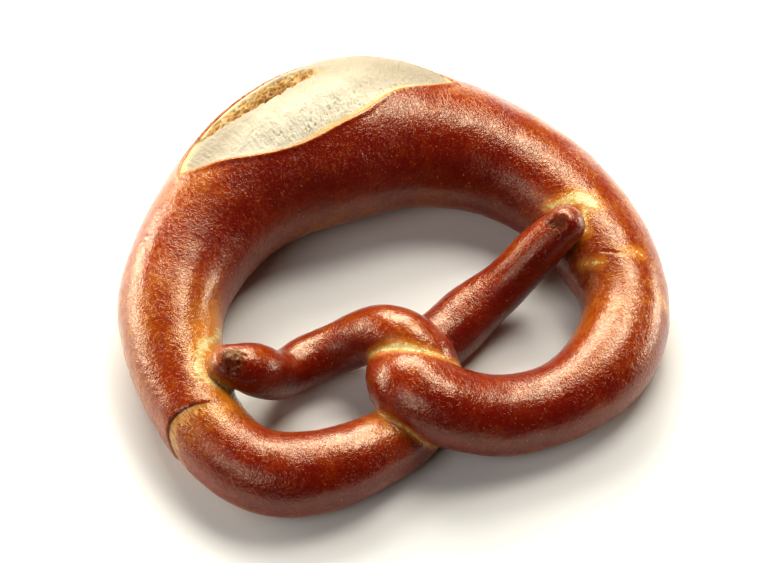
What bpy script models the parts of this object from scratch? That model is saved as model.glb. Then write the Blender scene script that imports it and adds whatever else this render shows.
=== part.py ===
"""Soft pretzel, hand shaped: one rope of dough, thick in the middle, twisted once and folded back on itself.

The rope is swept along a smooth line through hand-placed stations and fused where it crosses and rests on
itself. The fused dough is then shaped as baking shapes it: split open along the belly, where the pale crumb
swells out of the crust's rim and tears once more, folded over itself low on the left side, dimpled at its
burnt tips, and pressed flat underneath by the tray.

Frame: +Z up, the tray is z = 0, +X points to the right arm's side, +Y from the twist to the belly, and the
origin is under the middle of the pretzel. Places on the rope are given as "along", the distance from the
middle of the belly in millimetres (the left arm's side is negative), and "around", the angle in degrees from
the rope's top (towards the outside of the ring is positive).
"""

import math

import bpy
import numpy as np

MM = 0.001

# The rope's stations in millimetres, from the tip of the left arm, through the twist, round the ring
# by the belly and back through the twist to the tip of the right arm:
# x, y, half width, half height, and how far the strand is lifted off the tray.
LEFT_ARM = (
    (-56.5, -18.0, 6.0, 6.0, 20.0),
    (-50.0, -20.3, 8.0, 7.6, 15.5),
    (-42.0, -19.7, 7.4, 7.5, 6.6),
    (-32.0, -16.4, 7.8, 7.8, 3.0),
    (-20.0, -15.8, 8.1, 8.1, 4.0),
)
LEFT_TWIST = (
    (-9.0, -20.4, 9.0, 8.8, 11.0),
    (-2.0, -29.6, 9.6, 9.4, 12.5),
    (-1.0, -40.0, 10.5, 10.0, 5.5),
    (-9.0, -48.0, 10.6, 9.8, 0.0),
)
LEFT_LOOP = (
    (-22.0, -52.8, 10.8, 10.7, 0.0),
    (-37.0, -54.5, 12.2, 11.8, 0.0),
    (-55.4, -49.4, 12.6, 12.2, 0.0),
)
LEFT_SIDE = (
    (-66.4, -34.0, 12.4, 13.0, 0.0),
    (-69.6, -11.0, 13.9, 14.5, 0.0),
    (-65.6, 11.5, 16.4, 16.4, 0.0),
    (-52.8, 29.4, 18.4, 18.0, 0.0),
)
BELLY = (
    (-31.0, 44.4, 22.2, 21.2, 0.0),
    (0.0, 50.8, 27.2, 23.2, 0.0),
    (28.2, 44.1, 23.1, 20.8, 0.0),
)
RIGHT_SIDE = (
    (49.4, 30.4, 19.4, 17.5, 0.0),
    (62.8, 11.7, 17.2, 15.4, 0.0),
    (68.3, -12.0, 15.7, 14.3, 0.0),
    (66.9, -33.2, 13.7, 13.1, 0.0),
)
RIGHT_LOOP = (
    (54.7, -49.7, 13.8, 12.9, 0.0),
    (36.0, -57.4, 12.5, 12.0, 0.0),
    (16.0, -56.6, 12.2, 11.8, 1.5),
)
RIGHT_TWIST = (
    (-0.5, -49.7, 12.5, 11.5, 7.5),
    (-7.9, -39.4, 12.1, 11.0, 9.0),
    (-2.0, -28.0, 10.0, 9.2, 2.5),
    (10.0, -22.6, 9.5, 9.0, 0.0),
)
RIGHT_ARM = (
    (22.0, -17.7, 9.2, 8.5, 2.5),
    (35.0, -14.6, 7.6, 7.5, 9.0),
    (46.5, -12.2, 7.2, 7.2, 18.5),
    (55.0, -11.0, 6.3, 6.3, 25.5),
)
STATIONS = (
    LEFT_ARM + LEFT_TWIST + LEFT_LOOP + LEFT_SIDE + BELLY + RIGHT_SIDE + RIGHT_LOOP + RIGHT_TWIST + RIGHT_ARM
)
BELLY_STATION = len(LEFT_ARM + LEFT_TWIST + LEFT_LOOP + LEFT_SIDE) + 1
TRAY_SINK = 1.7  # how much of each section the tray has pressed flat
FLAT_BELOW = 0.25

# The split's two edges, as (along, around), and the tear along the top of its crumb.
SPLIT_NEAR_EDGE = (
    (-45, 36), (-41, 18), (-35, 3), (-29, -10), (-20, -21), (-10, -24.5),
    (2, -20), (11, -12.5), (18, -0.5), (23, 7), (29, 14), (34, 23), (38, 36),
)
SPLIT_FAR_EDGE = ((-45, 36), (-40, 47), (-32, 51), (-18, 51), (-4, 53), (8, 58), (20, 60), (30, 54), (38, 36))
TEAR_LINE = ((-34, 42), (-28, 32), (-23, 27), (-17, 23), (-11, 21.5), (-5, 22), (1, 24), (7, 27))
RIM_DROP = 1.0  # the crumb starts this far below the crust's rim
RIM_WIDTH = 1.6
CRUMB_SWELL = (1.0, 3.0)  # and rises this far above the dough's own roundness, at its left and right
SWELL_WIDTH = 12.0
TEAR_DEPTH = 2.6
TEAR_HALF_WIDTH = 2.8

# The fold low on the left side, where the side's dough lies over the loop's.
FOLD_LINE = ((-33, -122), (-5, -120), (20, -118.6), (46, -118.8), (68, -121), (90, -125))
FOLD_STEP = 1.6
FOLD_LIP = 9.0
FOLD_DIP = 6.0

TIP_DIMPLE_DEPTH = 1.2
TIP_DIMPLE_WIDTH = 3.4

SAMPLES_PER_SPAN = 24
POINTS_AROUND = 72
TIP_RINGS = 7
FUSE_VOXEL = 1.15
FUSE_SMOOTHING = 5
TRIANGLES = 9500

CRUST_BROWN = (0.22, 0.045, 0.012, 1.0)
CRUST_ROUGHNESS = 0.32


def smooth_line(points, samples_per_span):
    """A natural cubic spline through the points, all columns alike, with the chord's length as its parameter."""
    points = np.asarray(points, float)
    count = len(points)
    step = np.linalg.norm(np.diff(points[:, :3], axis=0), axis=1) ** 0.75
    matrix = np.eye(count)
    bend = np.zeros_like(points)
    for i in range(1, count - 1):
        matrix[i, i - 1 : i + 2] = step[i - 1], 2 * (step[i - 1] + step[i]), step[i]
        bend[i] = 6 * ((points[i + 1] - points[i]) / step[i] - (points[i] - points[i - 1]) / step[i - 1])
    bend = np.linalg.solve(matrix, bend)
    pieces = []
    for i in range(count - 1):
        b = np.linspace(0, 1, samples_per_span, endpoint=False)[:, None]
        a = 1 - b
        cubic = (a**3 - a) * bend[i] + (b**3 - b) * bend[i + 1]
        pieces.append(a * points[i] + b * points[i + 1] + cubic * step[i] ** 2 / 6)
    return np.concatenate(pieces + [points[-1:]])


class Rope:
    """The rope's sampled line: centres, sections (half width, half height) and each sample's own directions."""

    def __init__(self):
        x, y, half_width, half_height, lift = np.array(STATIONS).T
        z = half_height - TRAY_SINK + lift
        line = smooth_line(np.stack([x, y, z, half_width, half_height], axis=1), SAMPLES_PER_SPAN)
        self.centres, self.sections = line[:, :3], line[:, 3:]
        self.ahead = unit(np.gradient(self.centres, axis=0))
        self.outward = unit(np.cross([0, 0, 1], self.ahead))
        self.upward = np.cross(self.ahead, self.outward)
        steps = np.linalg.norm(np.diff(self.centres, axis=0), axis=1)
        self.along = np.concatenate([[0], np.cumsum(steps)])
        self.along -= self.along[BELLY_STATION * SAMPLES_PER_SPAN]

    def tip_centres(self):
        """The points that the two rounded tips are closed around."""
        return [self.centres[0] - self.sections[0, 0] * self.ahead[0],
                self.centres[-1] + self.sections[-1, 0] * self.ahead[-1]]

    def rings(self):
        """Centre, section, outward and upward of every ring of the tube, with the quarter circles of its tips."""
        reach = np.sin(np.linspace(0, math.pi / 2, TIP_RINGS + 2)[1:-1])[:, None]
        girth = np.sqrt(1 - reach**2)
        caps = []
        for end, sign in ((0, -1), (-1, 1)):
            centres = self.centres[end] + sign * reach * self.sections[end, 0] * self.ahead[end]
            turned = [np.repeat(v[None, end], TIP_RINGS, axis=0) for v in (self.outward, self.upward)]
            caps.append([centres, girth * self.sections[end], *turned])
        first, last = caps
        middle = [self.centres, self.sections, self.outward, self.upward]
        return [np.concatenate([a[::-1], b, c]) for a, b, c in zip(first, middle, last)]

    def places(self, points):
        """Along, around and the nearest sample, for points on the fused surface."""
        nearest = []
        girth = (self.sections**2).mean(axis=1)
        for some in np.array_split(points, 1 + len(points) // 4000):
            power = (self.centres**2).sum(axis=1) - girth - 2 * some @ self.centres.T
            nearest.append(power.argmin(axis=1))
        nearest = np.concatenate(nearest)
        offset = points - self.centres[nearest]
        ahead = (offset * self.ahead[nearest]).sum(axis=1)
        across = (offset * self.outward[nearest]).sum(axis=1) / self.sections[nearest, 0]
        above = (offset * self.upward[nearest]).sum(axis=1) / self.sections[nearest, 1]
        return self.along[nearest] + ahead, np.degrees(np.arctan2(across, above)), nearest


def unit(vectors):
    return vectors / np.linalg.norm(vectors, axis=1)[:, None]


def blend(value, start, end):
    """0 before start, 1 past end, and a smooth step between."""
    t = np.clip((value - start) / (end - start), 0, 1)
    return t * t * (3 - 2 * t)


def edge_at(points, value):
    """The second coordinate of a smooth curve through (first, second) points, at the given first coordinates."""
    flat = [(first, second, 0) for first, second in points]
    curve = smooth_line(flat, SAMPLES_PER_SPAN)
    return np.interp(value, curve[:, 0], curve[:, 1])


def split_relief(along, around, girth):
    """How far baking moved the surface at the split: the rim's step, the crumb's swelling and its tear."""
    per_degree = girth * math.pi / 180
    first, last = SPLIT_NEAR_EDGE[0][0], SPLIT_NEAR_EDGE[-1][0]
    into = np.minimum(around - edge_at(SPLIT_NEAR_EDGE, along), edge_at(SPLIT_FAR_EDGE, along) - around) * per_degree
    into = np.minimum(into, np.minimum(along - first, last - along) * 2)
    inside = blend(into, 0, RIM_WIDTH)
    swell = CRUMB_SWELL[0] + (CRUMB_SWELL[1] - CRUMB_SWELL[0]) * blend(along, first, last / 2)
    crumb = swell * blend(into, 0, SWELL_WIDTH) - RIM_DROP
    from_tear = np.abs(around - edge_at(TEAR_LINE, along)) * per_degree
    tear_run = blend(along, TEAR_LINE[0][0], TEAR_LINE[1][0]) * blend(-along, -TEAR_LINE[-1][0], -TEAR_LINE[-2][0])
    tear = TEAR_DEPTH * (1 - blend(from_tear, 0, TEAR_HALF_WIDTH)) * tear_run
    return inside * (crumb - tear)


def fold_relief(along, around):
    """The side's dough swells over the fold line and the loop's dough dips under it."""
    past = along - edge_at(FOLD_LINE, around)
    reach = blend(around, -60, -20) * (1 - blend(around, 95, 130))
    lip = blend(past, -0.4, 0.8) * (1 - blend(past, 1, FOLD_LIP))
    dip = (1 - blend(past, -0.8, 0.4)) * blend(past, -FOLD_DIP, -1)
    return FOLD_STEP * reach * (0.6 * lip - 0.4 * dip)


def tip_relief(points, rope):
    """A dimple in the middle of each tip's end."""
    depth = np.zeros(len(points))
    for centre in rope.tip_centres():
        depth -= TIP_DIMPLE_DEPTH * (1 - blend(np.linalg.norm(points - centre, axis=1), 0, TIP_DIMPLE_WIDTH))
    return depth


def tube_mesh(name, rope):
    """The whole rope as one closed tube, which still runs through itself at the twist and the tips."""
    centres, sections, outward, upward = rope.rings()
    angle = np.linspace(0, 2 * math.pi, POINTS_AROUND, endpoint=False)
    across = sections[:, :1] * np.sin(angle)
    above = sections[:, 1:] * np.cos(angle)
    points = centres[:, None] + across[..., None] * outward[:, None] + above[..., None] * upward[:, None]
    first = np.arange(POINTS_AROUND)
    after = np.roll(first, -1)
    quad = np.stack([first, after, after + POINTS_AROUND, first + POINTS_AROUND], axis=1)
    faces = (quad[None] + np.arange(len(points) - 1)[:, None, None] * POINTS_AROUND).reshape(-1, 4).tolist()
    faces += [first[::-1].tolist(), (first + (len(points) - 1) * POINTS_AROUND).tolist()]
    mesh = bpy.data.meshes.new(name)
    mesh.from_pydata((points.reshape(-1, 3) * MM).tolist(), [], faces)
    return mesh


def apply_modifiers(obj):
    """The object's mesh becomes what its modifiers make of it."""
    seen = obj.evaluated_get(bpy.context.evaluated_depsgraph_get())
    mesh = bpy.data.meshes.new_from_object(seen)
    obj.modifiers.clear()
    obj.data = mesh
    mesh.name = obj.name


def fuse(obj):
    """One skin round all that the tube's passes cover, with soft creases where they meet."""
    remesh = obj.modifiers.new("fuse", "REMESH")
    remesh.mode = "VOXEL"
    remesh.voxel_size = FUSE_VOXEL * MM
    smooth = obj.modifiers.new("soften", "SMOOTH")
    smooth.factor = 0.5
    smooth.iterations = FUSE_SMOOTHING
    apply_modifiers(obj)


def surface_points(mesh):
    """The mesh's points, in millimetres."""
    points = np.empty(len(mesh.vertices) * 3)
    mesh.vertices.foreach_get("co", points)
    return points.reshape(-1, 3) / MM


def move_points(mesh, points):
    mesh.vertices.foreach_set("co", (points * MM).ravel())
    mesh.update()


def bake(obj, rope):
    """Split, fold and dimple the fused dough, and press it onto the tray."""
    mesh = obj.data
    points = surface_points(mesh)
    normals = np.empty(points.size)
    mesh.vertex_normals.foreach_get("vector", normals)
    along, around, nearest = rope.places(points)
    relief = split_relief(along, around, rope.sections[nearest, 0])
    relief += fold_relief(along, around)
    relief += tip_relief(points, rope)
    points += relief[:, None] * normals.reshape(-1, 3)
    points[:, 2] = np.maximum(points[:, 2], 0)
    move_points(mesh, points)


def thin_out(obj):
    """Fewer faces where the surface is calm or flat, so that the solid stays light."""
    triangles = 2 * len(obj.data.polygons)
    decimate = obj.modifiers.new("thin out", "DECIMATE")
    decimate.ratio = TRIANGLES / triangles
    apply_modifiers(obj)


def settle(obj):
    """The underside becomes truly flat, and the middle of the whole comes over the origin."""
    points = surface_points(obj.data)
    points[points[:, 2] < FLAT_BELOW, 2] = 0
    points[:, :2] -= (points.min(axis=0) + points.max(axis=0))[:2] / 2
    move_points(obj.data, points)


def crust_material():
    material = bpy.data.materials.new("baked crust")
    material.use_nodes = True
    shader = material.node_tree.nodes["Principled BSDF"]
    shader.inputs["Base Color"].default_value = CRUST_BROWN
    shader.inputs["Roughness"].default_value = CRUST_ROUGHNESS
    shader.inputs["Metallic"].default_value = 0
    return material


def main():
    for old in list(bpy.data.objects):
        bpy.data.objects.remove(old)
    rope = Rope()
    pretzel = bpy.data.objects.new("pretzel", tube_mesh("pretzel", rope))
    bpy.context.scene.collection.objects.link(pretzel)
    fuse(pretzel)
    bake(pretzel, rope)
    thin_out(pretzel)
    settle(pretzel)
    pretzel.data.materials.append(crust_material())
    pretzel.data.shade_smooth()


if __name__ == "__main__":
    main()
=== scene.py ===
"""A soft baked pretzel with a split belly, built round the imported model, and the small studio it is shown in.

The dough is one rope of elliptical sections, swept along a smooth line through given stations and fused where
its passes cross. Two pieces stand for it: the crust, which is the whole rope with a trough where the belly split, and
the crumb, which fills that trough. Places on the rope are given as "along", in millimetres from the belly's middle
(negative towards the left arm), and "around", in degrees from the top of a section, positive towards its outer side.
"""

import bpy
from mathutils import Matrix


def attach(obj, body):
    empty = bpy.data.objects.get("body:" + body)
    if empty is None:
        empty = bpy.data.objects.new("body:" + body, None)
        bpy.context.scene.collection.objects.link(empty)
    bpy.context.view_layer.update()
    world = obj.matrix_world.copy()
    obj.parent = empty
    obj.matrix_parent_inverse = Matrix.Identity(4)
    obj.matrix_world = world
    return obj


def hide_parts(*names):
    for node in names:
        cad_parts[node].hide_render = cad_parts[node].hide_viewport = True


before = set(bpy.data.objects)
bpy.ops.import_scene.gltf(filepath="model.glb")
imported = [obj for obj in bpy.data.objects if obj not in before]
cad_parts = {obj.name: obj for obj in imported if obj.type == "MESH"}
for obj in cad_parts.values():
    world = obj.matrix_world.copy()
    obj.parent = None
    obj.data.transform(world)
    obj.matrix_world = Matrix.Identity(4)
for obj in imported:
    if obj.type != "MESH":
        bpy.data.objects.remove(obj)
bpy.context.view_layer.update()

import math

import bmesh
import bpy
import numpy as np
from bpy.props import FloatProperty, FloatVectorProperty, IntProperty, PointerProperty
from mathutils import Matrix, Vector, noise

bl_info = {
    "name": "Soft Pretzel",
    "version": (1, 0, 0),
    "blender": (4, 5, 0),
    "location": "View3D > Sidebar > Pretzel",
    "description": "Builds a soft baked pretzel with a split belly, and the studio it is shown in",
    "category": "Add Mesh",
}

MM = 0.001
DOUGH_NODE = "pretzel"

# ---------------------------------------------------------------- the rope: x, y, half width, half height, lift (mm)

LEFT_ARM = (
    (-56.5, -18.0, 6.0, 6.0, 20.0),
    (-50.0, -20.3, 8.0, 7.6, 15.5),
    (-42.0, -19.7, 7.4, 7.5, 6.6),
    (-32.0, -16.4, 7.8, 7.8, 3.0),
    (-20.0, -15.8, 8.1, 8.1, 4.0),
)
LEFT_TWIST = (
    (-9.0, -20.4, 9.0, 8.8, 11.0),
    (-2.0, -29.6, 9.6, 9.4, 12.5),
    (-1.0, -40.0, 10.5, 10.0, 5.5),
    (-9.0, -48.0, 10.6, 9.8, 0.0),
)
LEFT_LOOP = (
    (-22.0, -52.8, 10.8, 10.7, 0.0),
    (-37.0, -54.5, 12.2, 11.8, 0.0),
    (-55.4, -49.4, 12.6, 12.2, 0.0),
)
LEFT_SIDE = (
    (-66.4, -34.0, 12.4, 13.0, 0.0),
    (-69.6, -11.0, 13.9, 14.5, 0.0),
    (-65.6, 11.5, 16.4, 16.4, 0.0),
    (-52.8, 29.4, 18.4, 18.0, 0.0),
)
BELLY = (
    (-31.0, 44.4, 22.2, 21.2, 0.0),
    (0.0, 50.8, 27.2, 23.2, 0.0),
    (28.2, 44.1, 23.1, 20.8, 0.0),
)
RIGHT_SIDE = (
    (49.4, 30.4, 19.4, 17.5, 0.0),
    (62.8, 11.7, 17.2, 15.4, 0.0),
    (68.3, -12.0, 15.7, 14.3, 0.0),
    (66.9, -33.2, 13.7, 13.1, 0.0),
)
RIGHT_LOOP = (
    (54.7, -49.7, 13.8, 12.9, 0.0),
    (36.0, -57.4, 12.5, 12.0, 0.0),
    (16.0, -56.6, 12.2, 11.8, 1.5),
)
RIGHT_TWIST = (
    (-0.5, -49.7, 12.5, 11.5, 7.5),
    (-7.9, -39.4, 12.1, 11.0, 9.0),
    (-2.0, -28.0, 10.0, 9.2, 2.5),
    (10.0, -22.6, 9.5, 9.0, 0.0),
)
RIGHT_ARM = (
    (22.0, -17.7, 9.2, 8.5, 2.5),
    (35.0, -14.6, 7.6, 7.5, 9.0),
    (46.5, -12.2, 7.2, 7.2, 18.5),
    (55.0, -11.0, 6.3, 6.3, 25.5),
)
STATIONS = (
    LEFT_ARM + LEFT_TWIST + LEFT_LOOP + LEFT_SIDE + BELLY + RIGHT_SIDE + RIGHT_LOOP + RIGHT_TWIST + RIGHT_ARM
)
BELLY_STATION = len(LEFT_ARM + LEFT_TWIST + LEFT_LOOP + LEFT_SIDE) + 1
TRAY_SINK = 1.7  # how much of each section the tray has pressed flat
FLAT_BELOW = 0.25
SAMPLES_PER_SPAN = 24
RINGS_PER_SPAN = 8
POINTS_AROUND = 72
TIP_RINGS = 7
POINTS_AT_ONCE = 4000  # points that are compared with the whole rope at one time
OWN_PASS = 45  # dough nearer than this along the rope belongs to the same pass
FAR_OFF = 99.0  # stands for "nowhere near"
MARK_REACH = 9.0  # painted distances stop here

# ---------------------------------------------------------------- the split, as (along, around)

SPLIT_NEAR_EDGE = (
    (-45, 36), (-41, 18), (-35, 3), (-29, -10), (-20, -21), (-10, -24.5),
    (2, -20), (11, -12.5), (18, -0.5), (23, 7), (29, 14), (34, 23), (38, 36),
)
SPLIT_FAR_EDGE = ((-45, 36), (-40, 47), (-32, 51), (-18, 51), (-4, 53), (8, 58), (20, 60), (30, 54), (38, 36))
TEAR_NEAR_EDGE = ((-36, 43), (-33, 36), (-30, 28), (-25, 21), (-19, 17), (-13, 15), (-8, 15.5), (-3, 17), (6, 22))
TEAR_FAR_EDGE = ((-36, 46), (-31, 49), (-27, 46), (-21, 41), (-17, 38), (-11, 34.5), (-4, 31), (1, 27), (6, 23))
TEAR_DEPTH = 3.0
CRUMB_SWELL = (1.0, 3.0)  # how far the crumb rises above the dough's own roundness, at its left and right
SWELL_WIDTH = 12.0
TROUGH_DEPTH = 3.2
CRUMB_FLOOR = -5.5  # the crumb piece's own underside, hidden in the dough
CRUMB_TUCK = 1.6  # how far the crumb reaches in under the crust
CRUMB_INSET = 0.6  # how far the crumb's ends stay inside the split's ends

# ---------------------------------------------------------------- how the surfaces take the light

CRUST_IOR = 1.37
GLAZE_IOR = 1.44
CRUMB_IOR = 1.4
CRUMB_ROUGHNESS = 0.72
CRUMB_SPECULAR = 0.35
CRUMB_BUMP = 0.25  # depth of the crumb's finest grain, in mm

# ---------------------------------------------------------------- the fold low on the left side

FOLD_LINE = ((-33, -123), (-8, -121.2), (7, -120.1), (24, -119.4), (46, -119.2), (68, -120.8), (90, -124.5))
FOLD_STEP = 0.55
FOLD_LIP = 8.0
FOLD_DIP = 6.0

# The burnt ends of the arms: middle (along, around), reach of the dark part and depth of its wrinkles, in mm.
BURNT_TIPS = (
    (-293.0, -14, 4.8, 0.65),
    (300.2, -8, 3.9, 0.2),
)
DIMPLE = (300.2, -9, 2.6, 0.7)  # the hole in the right tip: along, around, reach, depth

# Bare dough that stretched and stayed pale: places (along, around) and half its width in mm.
BARE_PATCHES = (
    # round the left arm's tip
    (((-92, -80), (-96.5, -58), (-99.5, -44), (-102, -32)), 1.4),
    (((-99.5, -42), (-102.5, -31), (-106, -23), (-109.6, -19)), 1.9),
    (((-110.6, -14), (-113.4, -20), (-116, -29), (-118, -40), (-119, -52)), 0.9),
    # beyond the right arm's tip
    (((86.6, -38), (88.6, -26), (90.6, -16)), 1.0),
    (((90.4, -13), (92.8, -5), (94.6, 1)), 2.2),
    (((95.2, -12), (98.4, -20), (101.5, -25)), 0.7),
    # cracks further on
    (((110.8, -51), (112.6, -38), (113.8, -28)), 0.25),
    (((113.6, 3), (113.6, 14), (115, 24)), 0.3),
    (((127, 50), (128.5, 57)), 0.3),
)
# Bare dough in the creases where strands cross: places, how far beyond them it shows, half its width (mm).
BARE_CREASES = (
    (((-230, -80), (-224, -42), (-220.7, -16), (-217, 13), (-213.8, 44), (-211, 64)), 3.5, 0.75),
    (((-183.9, -34), (-183.8, -15), (-185.5, 12), (-188.2, 36), (-191.1, 61), (-193.9, 93)), 3.0, 0.72),
)
# Cracks, with painted shade in their grooves: places (along, around) and half the width in mm.
CRACKS = (
    (((110.4, -21), (112, -12), (113.6, -2), (113.6, 4)), 0.1),
)
# Where the crust browned lighter, or darker where the amount is negative; two darker entries are painted shade and
# one
# lighter entry is painted light: along, around, reach along, reach around (mm), amount.
BROWNING_AND_LIGHT_PLACES = (
    (-84, -66, 15, 9, 0.40),
    (-100, -46, 10, 12, 0.45),
    (-116, -50, 8, 14, 0.35),
    (-124, -50, 9, 12, 0.36),
    (-127, 5, 5, 14, 0.28),
    (-100, 45, 34, 18, 0.08),
    (-44, 24, 9, 12, 0.42),
    (37, 14, 8, 9, 0.30),
    (84, -42, 9, 8, 0.30),
    (98, -30, 11, 9, 0.12),
    (-112, 5, 12, 11, -0.25),
    # painted shade: darker over the shine on the belly's right shoulder and on the right loop
    (42, -10, 18, 14, -0.15),
    (172, -30, 22, 12, -0.20),
    (118, -48, 18, 9, 0.12),
    (145, -75, 14, 10, 0.25),
    (140, 20, 26, 18, 0.14),
    (-150, -75, 26, 7, 0.30),
    (-190, -10, 10, 12, 0.40),
    (-90, -66, 15, 10, 0.30),
    (-86, -26, 18, 12, 0.18),
    (-222, -20, 9, 12, 0.25),
    (100, 18, 22, 16, 0.06),
    (105, 78, 45, 16, 0.34),
    (-95, 84, 45, 14, 0.32),
    (60, 62, 24, 12, 0.25),
    # painted light: lighter low on the belly's inner side, as if lit from the floor
    (-5, -106, 50, 13, 0.50),
)


def unit(vectors):
    """The vectors, each of length 1."""
    return vectors / np.linalg.norm(vectors, axis=1)[:, None]


def blend(value, start, end):
    """0 before start, 1 past end, and a smooth step between."""
    t = np.clip((value - start) / (end - start), 0, 1)
    return t * t * (3 - 2 * t)


def smooth_line(points, samples_per_span):
    """A natural cubic spline through the points, all columns alike, with the chord's length as its parameter."""
    points = np.asarray(points, float)
    count = len(points)
    step = np.linalg.norm(np.diff(points[:, :3], axis=0), axis=1) ** 0.75
    matrix = np.eye(count)
    bend = np.zeros_like(points)
    for i in range(1, count - 1):
        matrix[i, i - 1 : i + 2] = step[i - 1], 2 * (step[i - 1] + step[i]), step[i]
        bend[i] = 6 * ((points[i + 1] - points[i]) / step[i] - (points[i] - points[i - 1]) / step[i - 1])
    bend = np.linalg.solve(matrix, bend)
    pieces = []
    for i in range(count - 1):
        b = np.linspace(0, 1, samples_per_span, endpoint=False)[:, None]
        a = 1 - b
        cubic = (a**3 - a) * bend[i] + (b**3 - b) * bend[i + 1]
        pieces.append(a * points[i] + b * points[i + 1] + cubic * step[i] ** 2 / 6)
    return np.concatenate(pieces + [points[-1:]])


def edge_at(points, value):
    """The second coordinate of a smooth curve through (first, second) points, at the given first coordinates."""
    curve = smooth_line([(first, second, 0) for first, second in points], SAMPLES_PER_SPAN)
    return np.interp(value, curve[:, 0], curve[:, 1])


def grain(points, size, seed=0.0):
    """Smooth random values from about -1 to 1, whose swells are about size millimetres across."""
    places = (np.asarray(points) / size + seed).tolist()
    return np.fromiter((noise.noise(place) for place in places), float, len(places))


def cells(points, size, seed=0.0):
    """Each point's distances to the nearest and the next of scattered centres, 1 being about size millimetres."""
    places = (np.asarray(points) / size + seed).tolist()
    return np.array([noise.voronoi(place)[0][:2] for place in places]).T


class Rope:
    """The rope's sampled line: centres, sections (half width, half height) and each sample's own directions."""

    def __init__(self):
        x, y, half_width, half_height, lift = np.array(STATIONS).T
        z = half_height - TRAY_SINK + lift
        line = smooth_line(np.stack([x, y, z, half_width, half_height], axis=1), SAMPLES_PER_SPAN)
        self.centres, self.sections = line[:, :3], line[:, 3:]
        self.ahead = unit(np.gradient(self.centres, axis=0))
        self.outward = unit(np.cross([0, 0, 1], self.ahead))
        self.upward = np.cross(self.ahead, self.outward)
        steps = np.linalg.norm(np.diff(self.centres, axis=0), axis=1)
        self.along = np.concatenate([[0], np.cumsum(steps)])
        self.along -= self.along[BELLY_STATION * SAMPLES_PER_SPAN]

    def rings(self):
        """A matrix for every ring of the tube, which takes the unit circle to it, with the rounding of its tips."""
        reach = np.sin(np.linspace(0, math.pi / 2, TIP_RINGS + 2)[1:-1])[:, None]
        girth = np.sqrt(1 - reach**2)
        caps = []
        for end, sign in ((0, -1), (-1, 1)):
            centres = self.centres[end] + sign * reach * self.sections[end, 0] * self.ahead[end]
            turned = [np.repeat(v[None, end], TIP_RINGS, axis=0) for v in (self.outward, self.upward, self.ahead)]
            caps.append([centres, girth * self.sections[end], *turned])
        first, last = caps
        thin = SAMPLES_PER_SPAN // RINGS_PER_SPAN
        middle = [v[::thin] for v in (self.centres, self.sections, self.outward, self.upward, self.ahead)]
        rows = [np.concatenate([a[::-1], b, c]) for a, b, c in zip(first, middle, last)]
        matrices = []
        for centre, (half_width, half_height), outward, upward, ahead in zip(*rows):
            matrix = Matrix.Identity(4)
            columns = outward * half_width, upward * half_height, ahead, centre
            for i, column in enumerate(columns):
                matrix.col[i][:3] = (column * MM).tolist()
            matrices.append(matrix)
        return matrices

    def places(self, points):
        """Along, around and the nearest sample, for points on the fused surface."""
        nearest = []
        girth = (self.sections**2).mean(axis=1)
        for some in np.array_split(points, 1 + len(points) // POINTS_AT_ONCE):
            power = (self.centres**2).sum(axis=1) - girth - 2 * some @ self.centres.T
            nearest.append(power.argmin(axis=1))
        nearest = np.concatenate(nearest)
        offset = points - self.centres[nearest]
        ahead = (offset * self.ahead[nearest]).sum(axis=1)
        across = (offset * self.outward[nearest]).sum(axis=1) / self.sections[nearest, 0]
        above = (offset * self.upward[nearest]).sum(axis=1) / self.sections[nearest, 1]
        return self.along[nearest] + ahead, np.degrees(np.arctan2(across, above)), nearest

    def column_at(self, values, along):
        return np.stack([np.interp(along, self.along, column) for column in values.T], axis=1)

    def skin(self, along, around):
        """Points and outward normals on the rope's plain surface."""
        along, angle = np.asarray(along, float), np.radians(around)
        centre, section = self.column_at(self.centres, along), self.column_at(self.sections, along)
        outward, upward = unit(self.column_at(self.outward, along)), unit(self.column_at(self.upward, along))
        sine, cosine = np.sin(angle)[:, None], np.cos(angle)[:, None]
        points = centre + sine * section[:, :1] * outward + cosine * section[:, 1:] * upward
        normals = unit(sine / section[:, :1] * outward + cosine / section[:, 1:] * upward)
        return points, normals

    def other_pass(self, points, along):
        """How far each point is from the surface of another pass of the rope, in millimetres."""
        thin = slice(None, None, 3)
        centres, sections, run = self.centres[thin], self.sections[thin], self.along[thin]
        nearest = np.full(len(points), FAR_OFF)
        for some in np.array_split(np.arange(len(points)), 1 + len(points) // POINTS_AT_ONCE):
            gap = np.linalg.norm(points[some, None] - centres[None], axis=2) - sections.mean(axis=1)
            gap[np.abs(along[some, None] - run[None]) < OWN_PASS] = FAR_OFF
            nearest[some] = gap.min(axis=1)
        return nearest


def split_depth(along, around, girth):
    """How far inside the split a place is, in millimetres, negative outside it."""
    per_degree = girth * math.pi / 180
    inside = np.full(len(along), FAR_OFF)
    for points, side in ((SPLIT_NEAR_EDGE, 1), (SPLIT_FAR_EDGE, -1)):
        edge = edge_at(points, along)
        slope = (edge_at(points, along + 0.5) - edge_at(points, along - 0.5)) * per_degree
        inside = np.minimum(inside, side * (around - edge) * per_degree / np.sqrt(1 + slope**2))
    ends = np.minimum(along - SPLIT_NEAR_EDGE[0][0], SPLIT_NEAR_EDGE[-1][0] - along)
    return np.minimum(inside, ends)


def fold_relief(along, around):
    """The side's dough swells over the fold line and the loop's dough dips under it."""
    past = along - edge_at(FOLD_LINE, around)
    reach = blend(around, -28, 14) * (1 - blend(around, 95, 130))
    lip = blend(past, -0.3, 0.5) * (1 - blend(past, 1, FOLD_LIP))
    dip = (1 - blend(past, -0.5, 0.3)) * blend(past, -FOLD_DIP, -1)
    return FOLD_STEP * reach * (0.6 * lip - 0.4 * dip), past, reach


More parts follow.
